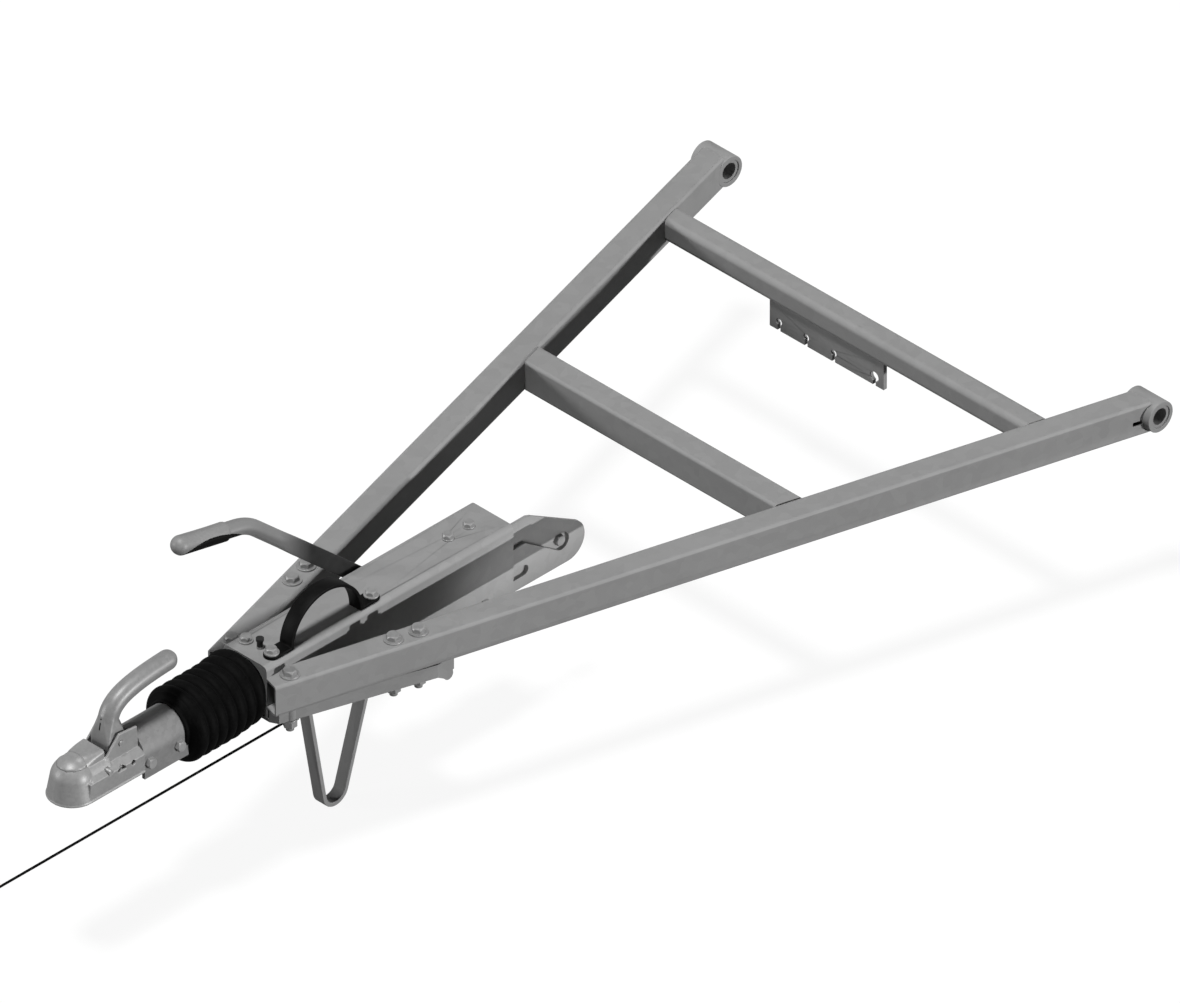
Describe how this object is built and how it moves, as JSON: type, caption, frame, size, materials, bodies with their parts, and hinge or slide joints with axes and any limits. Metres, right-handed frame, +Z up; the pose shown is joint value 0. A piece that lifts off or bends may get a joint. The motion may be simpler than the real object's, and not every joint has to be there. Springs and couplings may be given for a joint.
{
  "type": "trailer a-frame drawbar",
  "caption": "Braked trailer A-frame drawbar: two rails with rear hinge eyes, cross tubes, overrun housing, bellows, ball coupling, handbrake lever and skid foot.",
  "frame": {"origin": "middle of the axis through the two rear eyes, at the rails' mid height", "axes": "+X forward to the ball coupling, +Y to the left along the rear eye axis, +Z up"},
  "size_m": [2.3395, 1.065, 0.645],
  "materials": {
    "zinc": "hot-dip galvanised steel, matt grey",
    "zinc_bright": "bright zinc-plated steel",
    "black_steel": "black powder-coated steel",
    "rubber": "matt black rubber",
    "plastic": "matt black plastic",
    "cable": "steel cable in a black plastic sheath",
    "grip_grey": "satin grey pressed steel"
  },
  "bodies": {
    "frame": {"rail_left": "zinc", "rail_right": "zinc", "front_cross_tube": "zinc", "rear_cross_tube": "zinc", "brake_cable_bracket": "zinc", "eye_sleeve_left": "zinc", "eye_sleeve_right": "zinc", "eye_bush_left": "zinc", "eye_bush_right": "zinc", "housing": "zinc", "lower_tray": "zinc", "skid_foot": "zinc", "top_hoop": "black_steel", "lever_bracket": "zinc", "anchor_bolt": "zinc_bright", "anchor_nut": "zinc_bright", "rail_bolts": "zinc_bright", "rail_washers": "zinc_bright", "rail_nuts": "zinc_bright", "housing_bolts": "zinc_bright", "housing_washers": "zinc_bright", "hoop_nut": "zinc_bright", "grease_nipple": "zinc_bright", "nipple_cap": "plastic", "front_bush": "zinc", "rear_bush": "zinc", "damper_bracket": "zinc", "damper_rod": "zinc_bright", "lever_pivot_bolt": "zinc_bright", "lever_pivot_nut": "zinc_bright", "bellows": "rubber", "brake_pivot_bolt": "zinc_bright", "brake_pivot_nut": "zinc_bright", "brake_spacer": "zinc_bright", "cable_guide": "zinc_bright", "breakaway_cable": "cable", "cable_clip": "zinc_bright"},
    "draw_gear": {"draw_tube": "zinc_bright", "coupling_sleeve": "zinc_bright", "coupling_body": "zinc_bright", "coupling_bolts": "zinc_bright", "coupling_nuts": "zinc_bright", "handle_pin": "zinc_bright", "jaw_pin": "zinc_bright", "damper_cylinder": "black_steel"},
    "overrun_lever": {"overrun_lever": "zinc"},
    "handle": {"coupling_handle": "zinc_bright"},
    "jaw": {"locking_jaw": "zinc_bright"},
    "handbrake": {"handbrake_lever": "black_steel", "handbrake_grip": "grip_grey"}
  },
  "joints": [
    {"name": "draw_slide", "type": "slide", "parent": "frame", "child": "draw_gear", "axis": [1, 0, 0], "range_m": [-0.07, 0], "stiffness_N_per_m": 2000, "springref_m": 0.1, "deforming": ["bellows"]},
    {"name": "overrun_pivot", "type": "hinge", "parent": "frame", "child": "overrun_lever", "pos_m": [1.09, 0, -0.072], "axis": [0, -1, 0], "range_deg": [0, 57.5]},
    {"name": "handle_pivot", "type": "hinge", "parent": "draw_gear", "child": "handle", "pos_m": [1.903, 0, 0.047], "axis": [0, 1, 0], "range_deg": [0, 30]},
    {"name": "jaw_pivot", "type": "hinge", "parent": "draw_gear", "child": "jaw", "pos_m": [1.941, 0, 0.015], "axis": [0, 1, 0], "range_deg": [0, 15]},
    {"name": "handbrake_pivot", "type": "hinge", "parent": "frame", "child": "handbrake", "pos_m": [1.235, -0.058, -0.01], "axis": [0, -1, 0], "range_deg": [0, 90]}
  ],
  "couplings": [
    {"joint": "overrun_pivot", "follows": "draw_slide", "rad_per_m": -14.286},
    {"joint": "jaw_pivot", "follows": "handle_pivot", "ratio": 0.5}
  ]
}
